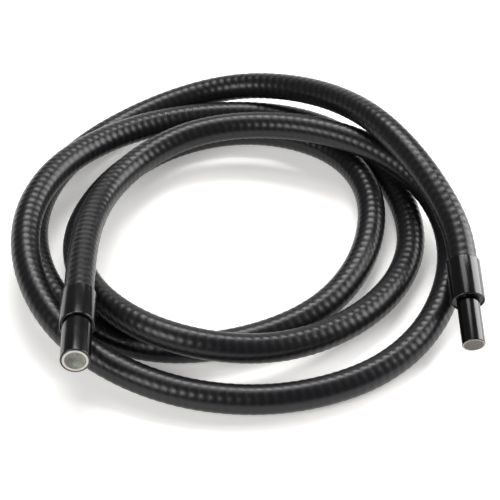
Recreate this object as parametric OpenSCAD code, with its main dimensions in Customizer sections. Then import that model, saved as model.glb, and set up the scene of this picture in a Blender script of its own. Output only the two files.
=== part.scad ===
// Fibre-optic light guide: an armoured hose with a stepped ferrule on each end, laid in loose loops.
// Millimetres, +Z up. The hose lies on z = 0, and the origin is under the middle of the loops.

/* [Hose] */
// Outer diameter of the jacket
hose_d = 13; // [12.6:0.1:13]
// Wall of the jacket
jacket_wall = 1.2; // [0.8:0.1:1.2]
// Wall of the wound steel conduit inside the jacket
conduit_wall = 0.6; // [0.4:0.1:0.6]
// Outer diameter of the soft sleeve around the fibres
sleeve_d = 9; // [8.9:0.1:9]
// Wall of the soft sleeve
sleeve_wall = 0.25; // [0.1:0.05:0.25]
// Diameter of the glass fibre bundle
bundle_d = 8.4; // [8:0.1:8.4]

/* [Ferrules] */
// Outer diameter of both collars
collar_d = 15; // [14.8:0.1:16]
// Length of both collars
collar_l = 20; // [19:0.5:24]
// Radial gap between the jacket and a collar's mouth
mouth_gap = 0.1; // [0.05:0.05:0.2]
// Rounding of a collar's outer edges
collar_round = 0.5; // [0.2:0.1:0.5]
// Diameter of the recess in a collar's outer end
recess_d = 13.8; // [13.4:0.1:13.8]
// Depth of that recess
recess_depth = 1.5; // [1.2:0.1:2]
// Thickness of the lock ring in the recess
lock_ring_t = 0.9; // [0.6:0.1:1.1]
// Length of both tip tubes outside the collars
tip_l = 21.5; // [18:0.5:30]
// Rounding of a tip tube's outer edge
tip_round = 0.4; // [0.1:0.1:0.4]
// Step between a tip tube's barrel and its shank inside the collar
shank_step = 0.3; // [0.2:0.05:0.3]

/* [End A] */
// Outer diameter of tip tube A
tip_a_d = 12.5; // [12.4:0.1:12.7]
// Wall of tip tube A
tip_a_wall = 0.85; // [0.5:0.05:0.85]
// Wall of the bright liner inside tip tube A
liner_a_wall = 1; // [0.8:0.1:1]
// How far the jacket goes into collar A
jacket_in_a = 12; // [10:0.5:14]
// Length of the bush around the conduit in end A
bush_a_l = 8; // [4:0.5:8]
// Length of the clamp around the soft sleeve in end A
clamp_a_l = 3; // [2:0.5:4]

/* [End B] */
// Outer diameter of tip tube B
tip_b_d = 10; // [9.9:0.1:11]
// Wall of tip tube B
tip_b_wall = 0.65; // [0.3:0.05:0.65]
// How far the jacket goes into collar B
jacket_in_b = 10; // [8:0.5:10]
// Length of the bush around the conduit in end B
bush_b_l = 4; // [3:0.5:5]
// Length of the clamp around the soft sleeve in end B
clamp_b_l = 2; // [1:0.5:2]

/* [Hidden] */
$fn = 96;

// The hose's course as [x, y, height of its underside], from the mouth of collar A to the mouth
// of collar B. The centreline is the smooth curve that these points pull along, about 50 apart.
// The first two points set the direction of ferrule A, and the last two that of ferrule B.
route = [
    [-70, -65.5, 25.5], [-71.5, -35.5, 22.5], [-69.5, 19.5, 9.5], [-34.5, 63, 11], [16, 68, 14],
    [67, 43.5, 18.5], [97.5, 7, 4.5], [90.5, -45.5, 0], [61, -88, 0], [10, -105, 0],
    [-40, -97, 1], [-83.5, -68.5, 7], [-103, -20.5, 14.5], [-94.5, 30.5, 13.5], [-60, 71, 6.5],
    [-13, 93, 0], [39, 86, 0], [70.5, 45, 0], [81, -7.5, 0], [58.5, -53, 2],
    [13.5, -85, 8], [-40, -82.5, 17.5], [-75, -40, 8.5], [-80, 9.5, 0], [-55.5, 56.5, 0],
    [-7, 82, 0], [44, 65, 2.5], [64.5, 20, 4], [49, -36.5, 0], [10.5, -68, 0.5],
    [-44, -77, 0], [-85.5, -47.5, 0], [-102.5, 4, 0], [-91.5, 53, 0], [-52.5, 92.5, 0],
    [-5.5, 108, 7.5], [39.5, 82.5, 21], [68.5, 37.5, 34], [94.5, -10, 21], [95.5, -34.5, 15]
];
last = len(route) - 1;
hose_sides = 12;

// Radii of the hose's layers, each a loose fit in the one around it
layer_gap = 0.1;
jacket_r = hose_d / 2;
jacket_bore_r = jacket_r - jacket_wall;
conduit_r = jacket_bore_r - layer_gap;
conduit_bore_r = conduit_r - conduit_wall;
sleeve_r = sleeve_d / 2;
sleeve_bore_r = sleeve_r - sleeve_wall;
bundle_r = bundle_d / 2;
mouth_r = jacket_r + mouth_gap;

// Distances out from the mouth of collar A
conduit_in_a = jacket_in_a + bush_a_l;
sleeve_in_a = conduit_in_a + clamp_a_l;
bundle_in_a = sleeve_in_a + 3;

// Distances out from the mouth of collar B
conduit_in_b = jacket_in_b + bush_b_l;
sleeve_in_b = conduit_in_b + clamp_b_l;
bundle_in_b = sleeve_in_b + 3;

// Radii inside the tips
tip_a_bore_r = tip_a_d / 2 - tip_a_wall;
liner_a_bore_r = tip_a_bore_r - liner_a_wall;
tip_b_bore_r = tip_b_d / 2 - tip_b_wall;

// Distance from either mouth to the end of its tip
tip_end = collar_l + tip_l;

// ---------- Centreline ----------

// Route point i, with one more in line past each end
function route_point(i) =
    i < 0 ? 2 * route[0] - route[1]
    : i > last ? 2 * route[last] - route[last - 1]
    : route[i];

// Uniform cubic B-spline weights and their slopes at t from 0 to 1
function spline_weights(t) =
    [pow(1 - t, 3), 3 * pow(t, 3) - 6 * t * t + 4, -3 * pow(t, 3) + 3 * t * t + 3 * t + 1, pow(t, 3)] / 6;
function spline_slopes(t) =
    [-(1 - t) * (1 - t), 3 * t * t - 4 * t, -3 * t * t + 2 * t + 1, t * t] / 2;

function weighted_sum(i, w) =
    w[0] * route_point(i - 1) + w[1] * route_point(i) + w[2] * route_point(i + 1) + w[3] * route_point(i + 2);
function span_of(u) = min(floor(u), last - 1);
function centre_at(u) = weighted_sum(span_of(u), spline_weights(u - span_of(u))) + [0, 0, jacket_r];
function unit(v) = v / norm(v);
function heading_at(u) = unit(weighted_sum(span_of(u), spline_slopes(u - span_of(u))));

// Each ferrule's mouth and its outward direction
mouth_a = centre_at(0);
mouth_b = centre_at(last);
axis_a = -heading_at(0);
axis_b = heading_at(last);

// Two rings per span of the route, and one more at each cut end inside a ferrule
function ring_centres(in_a, in_b) = concat(
    [mouth_a + in_a * axis_a],
    [for (k = [0 : 2 * last]) centre_at(k / 2)],
    [mouth_b + in_b * axis_b]
);
ring_headings = concat([-axis_a], [for (k = [0 : 2 * last]) heading_at(k / 2)], [axis_b]);
ring_count = len(ring_headings);

// ---------- Shapes ----------

// The corners of one ring of a layer, with a corner straight below the centre
function ring_corners(centre, heading, r) =
    let (side = unit(cross(heading, [0, 0, 1])), up = cross(side, heading))
    [for (j = [0 : hose_sides - 1])
        let (angle = 360 * j / hose_sides)
        centre + r * (cos(angle) * side + sin(angle) * up)];

function layer_corners(centres, r) =
    [for (k = [0 : ring_count - 1]) each ring_corners(centres[k], ring_headings[k], r)];

// Triangles between successive rings, starting at corner number first
function skin_faces(first, inward) =
    [for (k = [0 : ring_count - 2], j = [0 : hose_sides - 1])
        let (
            a = first + k * hose_sides + j,
            b = first + k * hose_sides + (j + 1) % hose_sides,
            c = a + hose_sides,
            d = b + hose_sides
        )
        each inward ? [[a, b, c], [b, d, c]] : [[a, c, b], [b, c, d]]];

// Triangles across one cut end, between the ring at outer and the ring at inner
function cut_faces(outer, inner, at_start) =
    [for (j = [0 : hose_sides - 1])
        let (a = outer + j, b = outer + (j + 1) % hose_sides, c = inner + j, d = inner + (j + 1) % hose_sides)
        each at_start ? [[a, b, c], [b, d, c]] : [[a, c, b], [b, c, d]]];

// A hollow layer of the hose that runs in_a and in_b past the two mouths
module hollow_layer(r, bore_r, in_a, in_b) {
    centres = ring_centres(in_a, in_b);
    inner = ring_count * hose_sides;
    last_ring = inner - hose_sides;
    polyhedron(
        points = concat(layer_corners(centres, r), layer_corners(centres, bore_r)),
        faces = concat(
            skin_faces(0, false),
            skin_faces(inner, true),
            cut_faces(0, inner, true),
            cut_faces(last_ring, inner + last_ring, false)
        )
    );
}

// A solid layer of the hose
module solid_layer(r, in_a, in_b) {
    last_ring = (ring_count - 1) * hose_sides;
    polyhedron(
        points = layer_corners(ring_centres(in_a, in_b), r),
        faces = concat(
            skin_faces(0, false),
            [[for (j = [0 : hose_sides - 1]) j]],
            [[for (j = [hose_sides - 1 : -1 : 0]) last_ring + j]]
        )
    );
}

// Puts children on a ferrule's axis, with +Z pointing out of the hose
module on_axis(mouth, axis) {
    translate(mouth)
        rotate([0, acos(axis[2]), atan2(axis[1], axis[0])])
            children();
}

module at_end_a() {
    on_axis(mouth_a, axis_a) children();
}

module at_end_b() {
    on_axis(mouth_b, axis_b) children();
}

// A quarter circle from the side of a round part to its end face
function rounded_edge(r, z, edge_r, toward_end) =
    [for (step = [0 : 4])
        let (angle = 90 * step / 4)
        [r - edge_r + edge_r * cos(angle), z + toward_end * (edge_r * sin(angle) - edge_r)]];

// A plain round tube between two distances from the mouth
module ring(r, bore_r, from, to) {
    translate([0, 0, from])
        difference() {
            cylinder(r = r, h = to - from);
            translate([0, 0, -1]) cylinder(r = bore_r, h = to - from + 2);
        }
}

// A plug of one radius between two distances from the mouth
module plug(r, from, to) {
    translate([0, 0, from]) cylinder(r = r, h = to - from);
}

// A collar with a wide bore for the hose, a web for the tip's shank and a recess for the lock ring
module collar(hose_depth, shank_r) {
    r = collar_d / 2;
    difference() {
        rotate_extrude()
            polygon(concat(
                [[0, collar_l], [0, 0]],
                [for (step = [4 : -1 : 0]) rounded_edge(r, 0, collar_round, -1)[step]],
                rounded_edge(r, collar_l, collar_round, 1)
            ));
        translate([0, 0, -1]) cylinder(r = mouth_r, h = hose_depth + 1);
        cylinder(r = shank_r, h = collar_l + 1);
        translate([0, 0, collar_l - recess_depth]) cylinder(r = recess_d / 2, h = recess_depth + 1);
    }
}

// A tip tube: a shank inside the collar from the given distance, then the barrel out of its rim
module tip_tube(r, bore_r, from) {
    difference() {
        rotate_extrude()
            polygon(concat(
                [[0, tip_end], [0, from], [r - shank_step, from], [r - shank_step, collar_l], [r, collar_l]],
                rounded_edge(r, tip_end, tip_round, 1)
            ));
        translate([0, 0, from - 1]) cylinder(r = bore_r, h = tip_end - from + 2);
    }
}

module lock_ring(shank_r) {
    ring(recess_d / 2, shank_r, collar_l - recess_depth, collar_l - recess_depth + lock_ring_t);
}

// ---------- Hose ----------

module jacket() {
    color([0.04, 0.04, 0.045]) hollow_layer(jacket_r, jacket_bore_r, jacket_in_a, jacket_in_b);
}

module steel_conduit() {
    color([0.62, 0.62, 0.62]) hollow_layer(conduit_r, conduit_bore_r, conduit_in_a, conduit_in_b);
}

module bundle_sleeve() {
    color([0.85, 0.85, 0.8]) hollow_layer(sleeve_r, sleeve_bore_r, sleeve_in_a, sleeve_in_b);
}

module fibre_bundle() {
    color([0.6, 0.65, 0.62]) solid_layer(bundle_r, bundle_in_a, bundle_in_b);
}

// ---------- End A ----------

module collar_a() {
    color([0.05, 0.05, 0.055]) at_end_a() collar(jacket_in_a, tip_a_d / 2 - shank_step);
}

module lock_ring_a() {
    color([0.08, 0.08, 0.08]) at_end_a() lock_ring(tip_a_d / 2 - shank_step);
}

module tip_tube_a() {
    color([0.05, 0.05, 0.055])
        at_end_a() tip_tube(tip_a_d / 2, tip_a_bore_r, jacket_in_a);
}

module liner_tube_a() {
    color([0.85, 0.83, 0.78]) at_end_a() ring(tip_a_bore_r, liner_a_bore_r, sleeve_in_a, tip_end);
}

module anchor_bush_a() {
    color([0.7, 0.6, 0.35]) at_end_a() ring(tip_a_bore_r, conduit_r, jacket_in_a, conduit_in_a);
}

module sleeve_clamp_a() {
    color([0.6, 0.6, 0.6]) at_end_a() ring(tip_a_bore_r, sleeve_r, conduit_in_a, sleeve_in_a);
}

module potting_a() {
    color([0.45, 0.36, 0.25]) at_end_a() ring(liner_a_bore_r, bundle_r, bundle_in_a, tip_end);
}

module fibre_end_a() {
    color([0.45, 0.48, 0.44]) at_end_a() plug(bundle_r, bundle_in_a, tip_end);
}

// ---------- End B ----------

module collar_b() {
    color([0.05, 0.05, 0.055]) at_end_b() collar(sleeve_in_b, tip_b_d / 2 - shank_step);
}

module lock_ring_b() {
    color([0.08, 0.08, 0.08]) at_end_b() lock_ring(tip_b_d / 2 - shank_step);
}

module tip_tube_b() {
    color([0.05, 0.05, 0.055])
        at_end_b() tip_tube(tip_b_d / 2, tip_b_bore_r, sleeve_in_b);
}

module anchor_bush_b() {
    color([0.7, 0.6, 0.35]) at_end_b() ring(mouth_r, conduit_r, jacket_in_b, conduit_in_b);
}

module sleeve_clamp_b() {
    color([0.6, 0.6, 0.6]) at_end_b() ring(mouth_r, sleeve_r, conduit_in_b, sleeve_in_b);
}

module potting_b() {
    color([0.45, 0.36, 0.25]) at_end_b() ring(tip_b_bore_r, bundle_r, bundle_in_b, tip_end);
}

module fibre_end_b() {
    color([0.42, 0.38, 0.36]) at_end_b() plug(bundle_r, bundle_in_b, tip_end);
}

jacket();
steel_conduit();
bundle_sleeve();
fibre_bundle();
collar_a();
lock_ring_a();
tip_tube_a();
liner_tube_a();
anchor_bush_a();
sleeve_clamp_a();
potting_a();
fibre_end_a();
collar_b();
lock_ring_b();
tip_tube_b();
anchor_bush_b();
sleeve_clamp_b();
potting_b();
fibre_end_b();
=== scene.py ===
"""Builds the looks of a fibre-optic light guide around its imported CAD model.

Everything is in metres in the row frame, +Z up, with the hose lying on z = 0.
"""

import math

import bpy
import numpy as np
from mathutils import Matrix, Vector


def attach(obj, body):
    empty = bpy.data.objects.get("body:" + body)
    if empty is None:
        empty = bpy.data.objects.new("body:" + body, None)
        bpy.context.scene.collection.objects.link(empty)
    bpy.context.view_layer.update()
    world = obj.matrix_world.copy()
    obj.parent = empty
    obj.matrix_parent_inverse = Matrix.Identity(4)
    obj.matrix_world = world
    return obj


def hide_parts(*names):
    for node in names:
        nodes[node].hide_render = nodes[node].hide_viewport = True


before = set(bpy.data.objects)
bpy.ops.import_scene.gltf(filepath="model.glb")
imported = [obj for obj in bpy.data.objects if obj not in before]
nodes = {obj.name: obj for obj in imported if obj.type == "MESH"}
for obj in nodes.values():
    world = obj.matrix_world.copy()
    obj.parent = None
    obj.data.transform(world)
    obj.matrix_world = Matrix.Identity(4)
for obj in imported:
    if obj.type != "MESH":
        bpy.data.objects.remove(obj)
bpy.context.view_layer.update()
scene = bpy.context.scene

MM = 0.001

# ---------- Sizes, as in the CAD model ----------

# The hose's course as x, y and the height of its underside, from the mouth of collar A to the mouth of
# collar B. The centreline is the uniform cubic B-spline that these points control.
ROUTE_MM = [
    (-70, -65.5, 25.5), (-71.5, -35.5, 22.5), (-69.5, 19.5, 9.5), (-34.5, 63, 11), (16, 68, 14),
    (67, 43.5, 18.5), (97.5, 7, 4.5), (90.5, -45.5, 0), (61, -88, 0), (10, -105, 0),
    (-40, -97, 1), (-83.5, -68.5, 7), (-103, -20.5, 14.5), (-94.5, 30.5, 13.5), (-60, 71, 6.5),
    (-13, 93, 0), (39, 86, 0), (70.5, 45, 0), (81, -7.5, 0), (58.5, -53, 2),
    (13.5, -85, 8), (-40, -82.5, 17.5), (-75, -40, 8.5), (-80, 9.5, 0), (-55.5, 56.5, 0),
    (-7, 82, 0), (44, 65, 2.5), (64.5, 20, 4), (49, -36.5, 0), (10.5, -68, 0.5),
    (-44, -77, 0), (-85.5, -47.5, 0), (-102.5, 4, 0), (-91.5, 53, 0), (-52.5, 92.5, 0),
    (-5.5, 108, 7.5), (39.5, 82.5, 21), (68.5, 37.5, 34), (94.5, -10, 21), (95.5, -34.5, 15),
]

JACKET_R = 6.5 * MM
JACKET_BORE_R = 5.3 * MM
CONDUIT_R = 5.2 * MM
CONDUIT_BORE_R = 4.6 * MM
SLEEVE_R = 4.5 * MM
SLEEVE_BORE_R = 4.25 * MM
BUNDLE_R = 4.2 * MM

# How far each layer of the hose runs into the collars, from their mouths.
JACKET_IN_A = 12 * MM
JACKET_IN_B = 10 * MM
CONDUIT_IN_A = 20 * MM
CONDUIT_IN_B = 14 * MM
SLEEVE_IN_A = 23 * MM
SLEEVE_IN_B = 16 * MM
BUNDLE_IN_A = 26 * MM
BUNDLE_IN_B = 19 * MM

# Distances along a ferrule are measured out of its collar's mouth.
MOUTH_R = 6.6 * MM
COLLAR_R = 7.5 * MM
COLLAR_L = 20 * MM
COLLAR_ROUND = 0.5 * MM
RECESS_R = 6.9 * MM
RECESS_DEPTH = 1.5 * MM
LOCK_RING_T = 0.9 * MM
TIP_END = 41.5 * MM
TIP_ROUND = 0.4 * MM
SHANK_STEP = 0.3 * MM

TIP_A_R = 6.25 * MM
TIP_A_BORE_R = 5.4 * MM
TIP_A_START = 12 * MM
LINER_BORE_R = 4.4 * MM
TIP_B_R = 5.0 * MM
TIP_B_BORE_R = 4.35 * MM
TIP_B_START = 16 * MM

# ---------- Sizes that only the looks have ----------

RIB_PITCH = 3.85 * MM
RIB_DEPTH = 0.13 * MM
# Above 1, the ribs are broad and the valleys between them narrow.
RIB_BREADTH = 1.6
CONDUIT_RIB_DEPTH = 0.35 * MM

# The jacket's slight unevenness: its height, its wavelength, and the length in which it goes round once.
SWAY = 0.03 * MM
SWAY_LENGTH = 47 * MM
SWAY_TURN = 310 * MM

# How finely the meshes are divided: rings of vertices along smooth tubes, and sides and steps around.
RING_STEP = 4 * MM
JACKET_STEP = RIB_PITCH / 6
CONDUIT_STEP = RIB_PITCH / 4
JACKET_SIDES = 36
CONDUIT_SIDES = 16
SLEEVE_SIDES = 24
BUNDLE_SIDES = 24
LATHE_SIDES = 128
ROUNDING_STEPS = 6
# Edges that turn by more degrees than this stay sharp.
SHARP_ANGLE = 40

# ---------- Camera ----------

CAMERA_TARGET = (2 * MM, -3 * MM, 0)
CAMERA_ELEVATION = 43
CAMERA_DISTANCE = 0.7415
CAMERA_LENS = 115.4


def add_camera():
    """Sets a camera that looks along +Y and down at the loops."""
    elevation = math.radians(CAMERA_ELEVATION)
    back = Vector((0, -math.cos(elevation), math.sin(elevation)))
    data = bpy.data.cameras.new("camera")
    data.lens = CAMERA_LENS
    data.sensor_width = 36
    data.clip_start = 0.05
    data.clip_end = 50
    camera = bpy.data.objects.new("camera", data)
    camera.location = Vector(CAMERA_TARGET) + CAMERA_DISTANCE * back
    camera.rotation_mode = "QUATERNION"
    camera.rotation_quaternion = (-back).to_track_quat("-Z", "Y")
    scene.collection.objects.link(camera)
    scene.camera = camera


add_camera()

# ---------- Centreline ----------


def unit_rows(rows):
    """The rows scaled to a length of 1."""
    return rows / np.linalg.norm(rows, axis=1)[:, None]


def control_points():
    """The route in metres at the height of the centreline, with one more point in line past each end."""
    points = np.array(ROUTE_MM, float) * MM
    points[:, 2] += JACKET_R
    before = 2 * points[0] - points[1]
    after = 2 * points[-1] - points[-2]
    return np.vstack([before, points, after])


def spline_at(u):
    """Points and headings of the centreline at the parameters u, one unit per span."""
    points = control_points()
    span = np.minimum(np.floor(u).astype(int), len(ROUTE_MM) - 2)
    t = u - span
    weights = [(1 - t) ** 3, 3 * t**3 - 6 * t**2 + 4, -3 * t**3 + 3 * t**2 + 3 * t + 1, t**3]
    slopes = [-((1 - t) ** 2), 3 * t**2 - 4 * t, -3 * t**2 + 2 * t + 1, t**2]
    place = sum(w[:, None] * points[span + k] for k, w in enumerate(weights)) / 6
    slope = sum(w[:, None] * points[span + k] for k, w in enumerate(slopes)) / 2
    return place, unit_rows(slope)


SPLINE_SAMPLES = 8000


class Centreline:
    """The hose's centreline by distance from the mouth of collar A, straight on past both mouths."""

    def __init__(self):
        self.u = np.linspace(0, len(ROUTE_MM) - 1, SPLINE_SAMPLES)
        points, headings = spline_at(self.u)
        steps = np.linalg.norm(np.diff(points, axis=0), axis=1)
        self.distance = np.concatenate([[0], np.cumsum(steps)])
        self.length = float(self.distance[-1])
        self.mouth_a, self.mouth_b = points[0], points[-1]
        self.axis_a, self.axis_b = -headings[0], headings[-1]

    def at(self, s):
        """Points and headings at the distances s."""
        points, headings = spline_at(np.interp(s, self.distance, self.u))
        points += np.minimum(s, 0)[:, None] * -self.axis_a
        points += np.maximum(s - self.length, 0)[:, None] * self.axis_b
        return points, headings


hose = Centreline()

# ---------- Mesh building ----------


def add_mesh(name, vertices, faces, attributes=None):
    """A new smooth mesh object. attributes maps a name to one value per vertex."""
    mesh = bpy.data.meshes.new(name)
    mesh.from_pydata(vertices.tolist(), [], faces)
    for key, values in (attributes or {}).items():
        layer = mesh.attributes.new(key, "FLOAT", "POINT")
        layer.data.foreach_set("value", np.asarray(values, np.float32))
    mesh.shade_smooth()
    obj = bpy.data.objects.new(name, mesh)
    scene.collection.objects.link(obj)
    return obj


def ring_points(s, sides, radii):
    """Vertices of rings around the centreline at distances s. radii is one value, or one per vertex."""
    centres, headings = hose.at(s)
    side = unit_rows(np.cross(headings, [0, 0, 1]))
    up = np.cross(side, headings)
    angle = 2 * np.pi * np.arange(sides) / sides
    around = np.cos(angle)[None, :, None] * side[:, None] + np.sin(angle)[None, :, None] * up[:, None]
    radii = np.broadcast_to(radii, (len(s), sides))
    return (centres[:, None] + radii[:, :, None] * around).reshape(-1, 3)


def skin(first, rings, sides, inward=False):
    """Quads between successive rings of vertices that start at number first."""
    ring = first + sides * np.arange(rings - 1)[:, None]
    here = np.arange(sides)[None]
    following = (np.arange(sides)[None] + 1) % sides
    quads = np.stack([ring + here, ring + sides + here, ring + sides + following, ring + following], axis=2)
    quads = quads.reshape(-1, 4)
    return (quads[:, ::-1] if inward else quads).tolist()


def bridge(outer, inner, sides, flip):
    """Quads across a cut end, between the ring of vertices at outer and the one at inner."""
    quads = []
    for j in range(sides):
        k = (j + 1) % sides
        quad = [outer + j, outer + k, inner + k, inner + j]
        quads.append(quad[::-1] if flip else quad)
    return quads


def distances(start, end, step):
    """Evenly spaced distances from start to end, about step apart."""
    return np.linspace(start, end, int(round((end - start) / step)) + 1)


def along_and_around(s, sides):
    """Per vertex, the distance along the hose and the angle around it from 0 to 1."""
    return np.repeat(s, sides), np.tile(np.arange(sides) / sides, len(s))


def add_hose_layer(name, in_a, in_b, step, sides, radii, bore_r):
    """A closed tube that runs in_a and in_b past the mouths.

    radii(along, around) gives its outer radius, and 1 on a rib's crown down to 0 in its valley."""
    start, end = -in_a, hose.length + in_b
    s = distances(start, end, step)
    along, around = along_and_around(s, sides)
    outer_r, rib = radii(along, around)
    outer = ring_points(s, sides, outer_r.reshape(len(s), sides))
    s_in = distances(start, end, RING_STEP)
    along_in, around_in = along_and_around(s_in, sides)
    inner = ring_points(s_in, sides, bore_r)
    first_in = len(outer)
    faces = skin(0, len(s), sides) + skin(first_in, len(s_in), sides, inward=True)
    faces += bridge(0, first_in, sides, flip=False)
    faces += bridge(first_in - sides, first_in + len(inner) - sides, sides, flip=True)
    return add_mesh(name, np.vstack([outer, inner]), faces, {
        "along": np.concatenate([along, along_in]),
        "around": np.concatenate([around, around_in]),
        "rib": np.concatenate([rib, np.zeros(len(inner))]),
    })


def jacket_radii(along, around):
    """Broad rounded ribs with narrow valleys, wound round the hose, with a little unevenness."""
    turn = along / RIB_PITCH + around
    wave = 0.5 + 0.5 * np.cos(2 * np.pi * turn)
    rib = 1 - (1 - wave) ** RIB_BREADTH
    swell = np.sin(2 * np.pi * along / SWAY_LENGTH)
    side = np.cos(2 * np.pi * (around + along / SWAY_TURN))
    return JACKET_R - RIB_DEPTH * (1 - rib) + SWAY * (swell * side - 1), rib


def conduit_radii(along, around):
    """The rounded strips of an interlocked conduit."""
    turn = along / RIB_PITCH + around
    wave = 0.5 + 0.5 * np.cos(2 * np.pi * turn)
    rib = np.sqrt(wave)
    return CONDUIT_R - CONDUIT_RIB_DEPTH * (1 - rib), rib


def plain_radii(radius):
    """The radii of a smooth tube."""

    def radii(along, around):
        return np.full(len(along), radius), np.ones(len(along))

    return radii


# ---------- Lathe ----------


def frame_on(axis):
    """Two directions across an axis."""
    side = np.cross(axis, [0, 0, 1])
    side /= np.linalg.norm(side)
    return side, np.cross(side, axis)


def lathe_faces(profile, starts):
    """Faces between the rings of a profile that closes on itself. starts has each ring's first vertex."""
    faces = []
    for i, here in enumerate(starts):
        k = (i + 1) % len(profile)
        there = starts[k]
        here_is_point, there_is_point = profile[i][0] == 0, profile[k][0] == 0
        if here_is_point and there_is_point:
            continue
        for j in range(LATHE_SIDES):
            n = (j + 1) % LATHE_SIDES
            if here_is_point:
                faces.append([here, there + j, there + n])
            elif there_is_point:
                faces.append([here + n, here + j, there])
            else:
                faces.append([here + n, here + j, there + j, there + n])
    return faces


def add_lathe(name, mouth, axis, profile, bare_from=None):
    """A closed solid of revolution. profile is (radius, distance out of the mouth) round its section.

    A radius of 0 is a point on the axis. bare_from is a distance past which the metal is bare."""
    side, up = frame_on(axis)
    angle = 2 * np.pi * np.arange(LATHE_SIDES) / LATHE_SIDES
    around = np.cos(angle)[:, None] * side + np.sin(angle)[:, None] * up
    vertices, starts, radius_of, out_of = [], [], [], []
    for radius, out in profile:
        starts.append(len(vertices))
        ring = [mouth + out * axis] if radius == 0 else list(mouth + out * axis + radius * around)
        vertices += ring
        radius_of += [radius] * len(ring)
        out_of += [out] * len(ring)
    out_of = np.array(out_of)
    bare = np.zeros(len(out_of)) if bare_from is None else (out_of >= bare_from).astype(float)
    attributes = {"radius": np.array(radius_of), "out": out_of, "bare": bare}
    obj = add_mesh(name, np.array(vertices), lathe_faces(profile, starts), attributes)
    obj.data.set_sharp_from_angle(angle=math.radians(SHARP_ANGLE))
    return obj


def rounded(radius, out, size, toward):
    """Profile points of a rounded edge between a side and an end face, from the side to the face."""
    points = []
    for step in range(ROUNDING_STEPS + 1):
        angle = math.radians(90 * step / ROUNDING_STEPS)
        inset = size * (1 - math.cos(angle))
        short = size * (1 - math.sin(angle))
        points.append((radius - inset, out - toward * short))
    return points


def collar_profile(bore_depth, shank_r):
    """A collar: wide bore for the hose, narrow bore for the tip tube's shank, recess in the outer end."""
    return (
        rounded(COLLAR_R, 0, COLLAR_ROUND, -1)[::-1]
        + rounded(COLLAR_R, COLLAR_L, COLLAR_ROUND, 1)
        + [
            (RECESS_R, COLLAR_L - 0.1 * MM),
            (RECESS_R, COLLAR_L - RECESS_DEPTH),
            (shank_r, COLLAR_L - RECESS_DEPTH),
            (shank_r, bore_depth),
            (MOUTH_R, bore_depth),
            (MOUTH_R, 0.2 * MM),
            (MOUTH_R + 0.2 * MM, 0),
        ]
    )


def tip_profile(radius, bore_r, start):
    """A tip tube: a shank inside the collar, then the plain barrel with a rounded edge."""
    return [
        (bore_r, start),
        (radius - SHANK_STEP, start),
        (radius - SHANK_STEP, COLLAR_L),
        (radius - 0.1 * MM, COLLAR_L),
        (radius, COLLAR_L + 0.1 * MM),
        *rounded(radius, TIP_END, TIP_ROUND, 1),
        (bore_r, TIP_END),
    ]


def ring_profile(radius, bore_r, start, end, edge=0.05 * MM):
    """A plain ring with finely broken outer edges."""
    return [
        (bore_r, start),
        (radius - edge, start),
        (radius, start + edge),
        (radius, end - edge),
        (radius - edge, end),
        (bore_r, end),
    ]


def plug_profile(radius, start, end):
    """A solid plug whose end face has a ring of vertices half way out."""
    return [(0, start), (radius, start), (radius, end), (radius / 2, end), (0, end)]


# ---------- Materials ----------


MIX_COLOUR_A = 6
MIX_COLOUR_B = 7
MIX_COLOUR_RESULT = 2


class Graph:
    """A material and its shader, with short calls for adding nodes."""

    def __init__(self, name, **settings):
        self.material = bpy.data.materials.new(name)
        self.material.use_nodes = True
        self.tree = self.material.node_tree
        self.shader = self.tree.nodes["Principled BSDF"]
        for key, value in settings.items():
            self.shader.inputs[key.replace("_", " ")].default_value = value

    def add(self, kind, inputs=None, **properties):
        """A new node. inputs maps a socket's name or number to a value, or to a socket to link from."""
        node = self.tree.nodes.new(kind)
        for key, value in properties.items():
            setattr(node, key, value)
        for key, value in (inputs or {}).items():
            self.put(node.inputs[key], value)
        return node

    def put(self, socket, value):
        """Sets a socket to a value, or links it from another socket."""
        if isinstance(value, bpy.types.NodeSocket):
            self.tree.links.new(value, socket)
        else:
            socket.default_value = value

    def set(self, name, value):
        """Sets or links one of the shader's own sockets."""
        self.put(self.shader.inputs[name], value)

    def position(self):
        """Where the surface point is."""
        return self.add("ShaderNodeNewGeometry").outputs["Position"]

    def attribute(self, name):
        """One of the values that the mesh has per vertex."""
        return self.add("ShaderNodeAttribute", attribute_name=name).outputs["Fac"]

    def noise(self, scale, detail=2.0, roughness=0.5):
        """Smooth noise in space, from about 0.25 to 0.75."""
        inputs = {
            "Vector": self.position(),
            "Scale": scale,
            "Detail": detail,
            "Roughness": roughness,
        }
        return self.add("ShaderNodeTexNoise", inputs).outputs["Fac"]

    def math(self, operation, a, b=0.0):
        """The result of a sum on one or two values."""
        return self.add("ShaderNodeMath", {0: a, 1: b}, operation=operation).outputs[0]

    def remap(self, value, low, high, to_low, to_high):
        """Maps low to high onto to_low to to_high, held at both ends."""
        inputs = {"Value": value, "From Min": low, "From Max": high, "To Min": to_low, "To Max": to_high}
        return self.add("ShaderNodeMapRange", inputs).outputs["Result"]

    def mix(self, factor, a, b):
        """Mixes two colours. The Mix node's colour sockets share their names, so they go by number."""
        node = self.add("ShaderNodeMix", data_type="RGBA")
        self.put(node.inputs["Factor"], factor)
        self.put(node.inputs[MIX_COLOUR_A], a)
        self.put(node.inputs[MIX_COLOUR_B], b)
        return node.outputs[MIX_COLOUR_RESULT]

    def bump(self, height, strength, distance, under=None):
        """A normal raised by height, on top of the normal under."""
        inputs = {"Height": height, "Strength": strength, "Distance": distance}
        if under is not None:
            inputs["Normal"] = under
        return self.add("ShaderNodeBump", inputs).outputs["Normal"]


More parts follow.
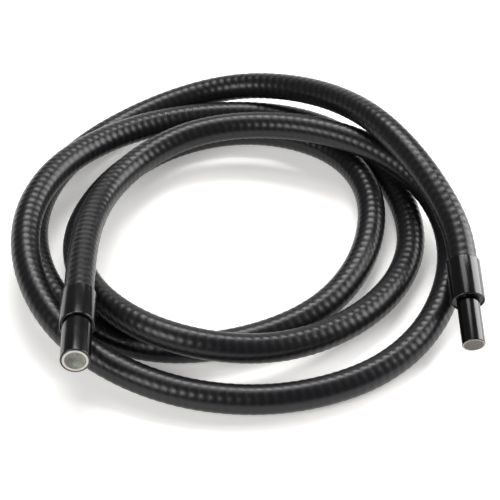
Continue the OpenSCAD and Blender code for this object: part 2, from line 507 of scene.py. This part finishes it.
def jacket_material():
    """Satin black PVC: faint moulding grain, handling marks, specks and a little dust in the valleys."""
    g = Graph("jacket_pvc", IOR=1.42)
    rib = g.attribute("rib")
    patches = g.noise(70, 3.0)
    grain = g.noise(3200, 3.0, 0.6)
    smear = g.noise(260, 4.0, 0.65)
    body = g.mix(patches, (0.0052, 0.0049, 0.0062, 1), (0.008, 0.0077, 0.0094, 1))
    dusty = g.mix(g.remap(rib, 0.0, 0.55, 0.25, 0.0), body, (0.013, 0.0127, 0.0125, 1))
    specks = g.add("ShaderNodeTexVoronoi", {"Vector": g.position(), "Scale": 260.0}).outputs["Distance"]
    g.set("Base Color", g.mix(g.remap(specks, 0.02, 0.04, 0.6, 0.0), dusty, (0.2, 0.19, 0.17, 1)))
    rough = g.remap(smear, 0.3, 0.7, 0.27, 0.34)
    g.set("Roughness", g.math("ADD", rough, g.remap(rib, 0.0, 0.6, 0.1, 0.0)))
    fine = g.bump(grain, 0.25, 0.03 * MM)
    g.set("Normal", g.bump(smear, 0.25, 0.08 * MM, fine))
    return g.material


def anodised_material():
    """Glossy black anodised aluminium with turning lines, and bare metal where the finish is cut off."""
    g = Graph("black_anodised", IOR=1.55)
    out = g.attribute("out")
    bare = g.attribute("bare")
    lines = g.add("ShaderNodeTexNoise", {"W": out, "Scale": 9000.0, "Detail": 3.0}, noise_dimensions="1D")
    turning = lines.outputs["Fac"]
    smudge = g.noise(180, 4.0, 0.6)
    black = g.mix(smudge, (0.001, 0.001, 0.0011, 1), (0.002, 0.002, 0.0023, 1))
    g.set("Base Color", g.mix(bare, black, (0.5, 0.48, 0.44, 1)))
    g.set("Metallic", bare)
    dull = g.remap(smudge, 0.35, 0.75, 0.13, 0.2)
    g.set("Roughness", g.math("ADD", dull, g.math("MULTIPLY", turning, 0.05)))
    g.set("Normal", g.bump(turning, 0.08, 0.01 * MM))
    return g.material


def lock_ring_material():
    """A blackened steel ring, a little duller than the collar."""
    g = Graph("lock_ring_black", IOR=1.42)
    spots = g.noise(1400, 4.0, 0.65)
    g.set("Base Color", g.mix(spots, (0.004, 0.004, 0.004, 1), (0.012, 0.0115, 0.011, 1)))
    g.set("Roughness", g.remap(spots, 0.3, 0.7, 0.2, 0.32))
    g.set("Normal", g.bump(spots, 0.2, 0.02 * MM))
    return g.material


def liner_material():
    """Bright turned metal with fine concentric lines, lightly tarnished."""
    g = Graph("bright_liner", Metallic=1.0)
    radius = g.attribute("radius")
    lines = g.add(
        "ShaderNodeTexNoise", {"W": radius, "Scale": 14000.0, "Detail": 2.0}, noise_dimensions="1D"
    )
    stain = g.noise(420, 3.0)
    g.set("Base Color", g.mix(stain, (0.5, 0.48, 0.44, 1), (0.4, 0.385, 0.35, 1)))
    g.set("Roughness", g.remap(lines.outputs["Fac"], 0.3, 0.7, 0.24, 0.4))
    g.set("Normal", g.bump(lines.outputs["Fac"], 0.15, 0.01 * MM))
    return g.material


def resin_material():
    """Amber epoxy around the fibres, polished flat, with a few small bubbles."""
    g = Graph("resin", IOR=1.55)
    cloud = g.noise(900, 3.0)
    bubbles = g.add("ShaderNodeTexVoronoi", {"Vector": g.position(), "Scale": 4000.0}).outputs["Distance"]
    tint = g.mix(cloud, (0.10, 0.055, 0.03, 1), (0.2, 0.13, 0.075, 1))
    g.set("Base Color", g.mix(g.remap(bubbles, 0.0, 0.12, 1.0, 0.0), tint, (0.32, 0.27, 0.2, 1)))
    g.set("Roughness", g.remap(cloud, 0.3, 0.7, 0.16, 0.3))
    return g.material


FIBRE_SCALE = 9000.0
GROUP_SCALE = 1900.0
LIGHT_LEAN_PER_METRE = 50.0


def fibre_material(name, middle_x, main, patch):
    """A polished face of packed fibre ends, in groups that carry the light differently.

    Its colour is painted light that the fibres carry, and it runs from main to patch towards +X, past
    middle_x."""
    g = Graph(name, IOR=1.52)
    place = g.position()
    fibres = g.add("ShaderNodeTexVoronoi", {"Vector": place, "Scale": FIBRE_SCALE})
    edge = g.add(
        "ShaderNodeTexVoronoi", {"Vector": place, "Scale": FIBRE_SCALE}, feature="DISTANCE_TO_EDGE"
    )
    groups = g.add("ShaderNodeTexVoronoi", {"Vector": place, "Scale": GROUP_SCALE})
    side = g.add("ShaderNodeSeparateXYZ", {"Vector": place}).outputs["X"]
    # Painted light: the face grows lighter or darker towards +X, as the light that comes out of the fibres
    # does.
    light_lean = g.math("MULTIPLY", g.math("SUBTRACT", side, middle_x), LIGHT_LEAN_PER_METRE)
    area = g.math("ADD", g.noise(260.0, 2.0), light_lean)
    tone = g.mix(g.remap(area, 0.32, 0.74, 0.0, 1.0), main, patch)
    group_tone = g.add("ShaderNodeHueSaturation", {
        "Color": tone,
        "Value": g.remap(groups.outputs["Color"], 0.0, 1.0, 0.7, 1.35),
    }).outputs[0]
    fibre_tone = g.add("ShaderNodeHueSaturation", {
        "Color": group_tone,
        "Value": g.remap(fibres.outputs["Color"], 0.0, 1.0, 0.75, 1.3),
    }).outputs[0]
    glue = g.remap(edge.outputs["Distance"], 0.0, 0.12, 0.6, 0.0)
    g.set("Base Color", g.mix(glue, fibre_tone, (0.02, 0.02, 0.02, 1)))
    g.set("Roughness", g.remap(fibres.outputs["Distance"], 0.0, 0.7, 0.16, 0.34))
    g.set("Normal", g.bump(edge.outputs["Distance"], 0.15, 0.01 * MM))
    return g.material


def conduit_material():
    """Galvanised strip with a faint spangle, grimy in the seams."""
    g = Graph("conduit_steel", Metallic=1.0)
    spangle = g.add("ShaderNodeTexVoronoi", {"Vector": g.position(), "Scale": 900.0}).outputs["Color"]
    rib = g.attribute("rib")
    zinc = g.mix(g.remap(spangle, 0.0, 1.0, 0.0, 1.0), (0.52, 0.53, 0.55, 1), (0.66, 0.67, 0.68, 1))
    g.set("Base Color", g.mix(g.remap(rib, 0.0, 0.5, 0.8, 0.0), zinc, (0.12, 0.11, 0.1, 1)))
    g.set("Roughness", g.remap(g.noise(700, 3.0), 0.3, 0.7, 0.3, 0.5))
    return g.material


YARN_PITCH = 1.2 * MM
YARNS_AROUND = 24


def sleeve_material():
    """Woven glass silk: two sets of slanting yarns over the bundle."""
    g = Graph("sleeve_silk")
    along = g.math("MULTIPLY", g.attribute("along"), 2 * math.pi / YARN_PITCH)
    around = g.math("MULTIPLY", g.attribute("around"), 2 * math.pi * YARNS_AROUND)
    one = g.math("SINE", g.math("ADD", along, around))
    other = g.math("SINE", g.math("SUBTRACT", along, around))
    weave = g.math("MAXIMUM", one, other)
    light = g.remap(weave, -0.4, 1.0, 0.0, 1.0)
    g.set("Base Color", g.mix(light, (0.5, 0.48, 0.42, 1), (0.82, 0.8, 0.74, 1)))
    g.set("Roughness", g.remap(weave, -0.4, 1.0, 0.9, 0.6))
    g.set("Normal", g.bump(weave, 0.5, 0.1 * MM))
    return g.material


STRANDS_AROUND = 160.0


def bundle_material():
    """The side of a bundle of loose glass fibres: fine bright strands along it."""
    g = Graph("glass_bundle", IOR=1.52, Coat_Weight=0.3)
    strands = g.add("ShaderNodeTexNoise", {
        "W": g.math("MULTIPLY", g.attribute("around"), STRANDS_AROUND),
        "Scale": 1.0,
        "Detail": 3.0,
    }, noise_dimensions="1D").outputs["Fac"]
    g.set("Base Color", g.mix(strands, (0.3, 0.33, 0.3, 1), (0.75, 0.8, 0.76, 1)))
    g.set("Roughness", g.remap(strands, 0.3, 0.7, 0.15, 0.35))
    g.set("Normal", g.bump(strands, 0.4, 0.05 * MM))
    return g.material


def turned_metal(name, colour, dark):
    """Turned metal seen nowhere from outside: fine lines round the axis and a little stain."""
    g = Graph(name, Metallic=1.0)
    stain = g.noise(500, 3.0)
    g.set("Base Color", g.mix(stain, colour, dark))
    g.set("Roughness", g.remap(g.noise(1500, 2.0), 0.3, 0.7, 0.25, 0.45))
    g.set("Normal", g.bump(g.noise(4000, 2.0), 0.1, 0.01 * MM))
    return g.material


def floor_material():
    """A plain pale table top, very slightly uneven in tone."""
    g = Graph("floor", Roughness=0.6, Emission_Color=(1, 0.99, 0.97, 1), Emission_Strength=0.31)
    g.set("Base Color", g.mix(g.noise(3, 2.0), (0.94, 0.93, 0.91, 1), (0.96, 0.95, 0.93, 1)))
    return g.material


# Painted light carried by the fibre faces: each face's tone, and the tone it turns to towards +X.
FACE_A_MAIN = (0.095, 0.085, 0.073, 1)
FACE_A_PATCH = (0.23, 0.26, 0.2, 1)
FACE_B_MAIN = (0.1, 0.072, 0.052, 1)
FACE_B_PATCH = (0.07, 0.052, 0.04, 1)

MATERIALS = {
    "jacket_pvc": jacket_material(),
    "black_anodised": anodised_material(),
    "lock_ring_black": lock_ring_material(),
    "bright_liner": liner_material(),
    "resin": resin_material(),
    "fibre_a": fibre_material("glass_fibre_a", hose.mouth_a[0], FACE_A_MAIN, FACE_A_PATCH),
    "fibre_b": fibre_material("glass_fibre_b", hose.mouth_b[0], FACE_B_MAIN, FACE_B_PATCH),
    "conduit_steel": conduit_material(),
    "sleeve_silk": sleeve_material(),
    "bundle": bundle_material(),
    "bush_brass": turned_metal("bush_brass", (0.8, 0.62, 0.3, 1), (0.5, 0.38, 0.18, 1)),
    "clamp_steel": turned_metal("clamp_steel", (0.6, 0.6, 0.61, 1), (0.4, 0.4, 0.41, 1)),
}


def finish_piece(obj, material, slot, *replaced):
    """Gives a new piece its material and its place in the frame."""
    obj.data.materials.append(MATERIALS[material])
    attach(obj, "root")
    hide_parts(*replaced)
    return obj


# ---------- Hose ----------

jacket = add_hose_layer(
    "hose_jacket", JACKET_IN_A, JACKET_IN_B, JACKET_STEP, JACKET_SIDES, jacket_radii, JACKET_BORE_R
)
finish_piece(jacket, "jacket_pvc", "jacket_pvc", "jacket")

conduit = add_hose_layer(
    "hose_conduit", CONDUIT_IN_A, CONDUIT_IN_B, CONDUIT_STEP, CONDUIT_SIDES, conduit_radii, CONDUIT_BORE_R
)
finish_piece(conduit, "conduit_steel", "conduit_steel", "steel_conduit")

sleeve = add_hose_layer(
    "hose_sleeve", SLEEVE_IN_A, SLEEVE_IN_B, RING_STEP, SLEEVE_SIDES, plain_radii(SLEEVE_R), SLEEVE_BORE_R
)
finish_piece(sleeve, "sleeve_silk", "sleeve_silk", "bundle_sleeve")


def add_bundle():
    """The solid bundle of fibres, with a disc at each cut end."""
    s = distances(-BUNDLE_IN_A, hose.length + BUNDLE_IN_B, RING_STEP)
    along, around = along_and_around(s, BUNDLE_SIDES)
    vertices = ring_points(s, BUNDLE_SIDES, BUNDLE_R)
    last_ring = range(len(vertices) - BUNDLE_SIDES, len(vertices))
    faces = skin(0, len(s), BUNDLE_SIDES)
    faces.append(list(range(BUNDLE_SIDES)))
    faces.append(list(reversed(last_ring)))
    return add_mesh("hose_fibres", vertices, faces, {"along": along, "around": around})


fibres = finish_piece(add_bundle(), "bundle", "glass_fibre", "fibre_bundle")

# ---------- Ferrules ----------


def add_ferrule(end, mouth, axis, tip_r, tip_bore_r, tip_start, bare_from=None):
    """The collar, lock ring and tip tube of one end. The tube starts where the collar's wide bore ends."""
    shank_r = tip_r - SHANK_STEP
    ring_start = COLLAR_L - RECESS_DEPTH
    shapes = {
        "collar": (collar_profile(tip_start, shank_r), "black_anodised", None),
        "lock_ring": (
            ring_profile(RECESS_R, shank_r, ring_start, ring_start + LOCK_RING_T, 0.15 * MM),
            "lock_ring_black",
            None,
        ),
        "tip_tube": (tip_profile(tip_r, tip_bore_r, tip_start), "black_anodised", bare_from),
    }
    made = []
    for part, (profile, material, bare) in shapes.items():
        obj = add_lathe(f"ferrule_{end}_{part}", mouth, axis, profile, bare)
        made.append(finish_piece(obj, material, material, f"{part}_{end}"))
    return made


end_a = add_ferrule("a", hose.mouth_a, hose.axis_a, TIP_A_R, TIP_A_BORE_R, TIP_A_START)
end_b = add_ferrule("b", hose.mouth_b, hose.axis_b, TIP_B_R, TIP_B_BORE_R, TIP_B_START, bare_from=TIP_END)

liner_section = ring_profile(TIP_A_BORE_R, LINER_BORE_R, SLEEVE_IN_A, TIP_END)
liner = add_lathe("ferrule_a_liner", hose.mouth_a, hose.axis_a, liner_section)
end_a.append(finish_piece(liner, "bright_liner", "bright_liner", "liner_tube_a"))


def add_fibre_end(end, mouth, axis, potting_r, start):
    """The potting and the polished fibre face of one end."""
    ring_section = ring_profile(potting_r, BUNDLE_R, start, TIP_END)
    ring = add_lathe(f"ferrule_{end}_potting", mouth, axis, ring_section)
    face = add_lathe(f"ferrule_{end}_fibre_face", mouth, axis, plug_profile(BUNDLE_R, start, TIP_END))
    return [
        finish_piece(ring, "resin", "resin", f"potting_{end}"),
        finish_piece(face, f"fibre_{end}", "glass_fibre", f"fibre_end_{end}"),
    ]


end_a += add_fibre_end("a", hose.mouth_a, hose.axis_a, LINER_BORE_R, BUNDLE_IN_A)
end_b += add_fibre_end("b", hose.mouth_b, hose.axis_b, TIP_B_BORE_R, BUNDLE_IN_B)

for name in ("anchor_bush_a", "anchor_bush_b", "sleeve_clamp_a", "sleeve_clamp_b"):
    material = "bush_brass" if "bush" in name else "clamp_steel"
    for slot in nodes[name].material_slots:
        slot.material = MATERIALS[material]

# ---------- Points along the hose's centreline ---

CORD_POINTS = 500

path_s = np.linspace(-JACKET_IN_A, hose.length + JACKET_IN_B, CORD_POINTS)
path, _ = hose.at(path_s)

# ---------- Floor and light ----------


FLOOR_HALF = 8.0
WORLD_STRENGTH = 0.13
SOFTBOX_DISTANCE = 1.2

# Each light's name, azimuth and elevation in degrees, width and height in metres, and radiance.
SOFTBOXES = [
    ("softbox_back", 7, 56, 0.72, 0.27, 13.0),
    ("softbox_top", -19, 70, 0.5, 0.52, 3.1),
    ("softbox_right", 69, 21.5, 0.87, 0.93, 7.2),
    ("softbox_front_left", -138, 37, 0.62, 0.46, 7.5),
    ("softbox_low_back", -1, 13, 0.75, 0.55, 0.95),
]


def add_floor():
    """The surface that the hose lies on."""
    half = FLOOR_HALF
    corners = np.array([(-half, -half, 0), (half, -half, 0), (half, half, 0), (-half, half, 0)])
    floor = add_mesh("floor", corners, [[0, 1, 2, 3]])
    floor.data.materials.append(floor_material())


def add_softbox(name, azimuth, elevation, width, height, radiance):
    """A white rectangular light that faces the object. Azimuth 0 is along +Y and 90 along +X."""
    data = bpy.data.lights.new(name, "AREA")
    data.shape = "RECTANGLE"
    data.size = width
    data.size_y = height
    data.energy = radiance * math.pi * width * height
    a, e = math.radians(azimuth), math.radians(elevation)
    toward = Vector((math.sin(a) * math.cos(e), math.cos(a) * math.cos(e), math.sin(e)))
    light = bpy.data.objects.new(name, data)
    light.location = SOFTBOX_DISTANCE * toward
    light.rotation_mode = "QUATERNION"
    light.rotation_quaternion = toward.to_track_quat("Z", "Y")
    light.visible_camera = False
    scene.collection.objects.link(light)


def add_world(strength):
    """An even white glow from all round."""
    world = bpy.data.worlds.new("world")
    world.use_nodes = True
    background = world.node_tree.nodes["Background"]
    background.inputs["Color"].default_value = (1, 1, 1, 1)
    background.inputs["Strength"].default_value = strength
    scene.world = world


add_floor()
add_world(WORLD_STRENGTH)
for softbox in SOFTBOXES:
    add_softbox(*softbox)

scene.view_settings.view_transform = "Standard"
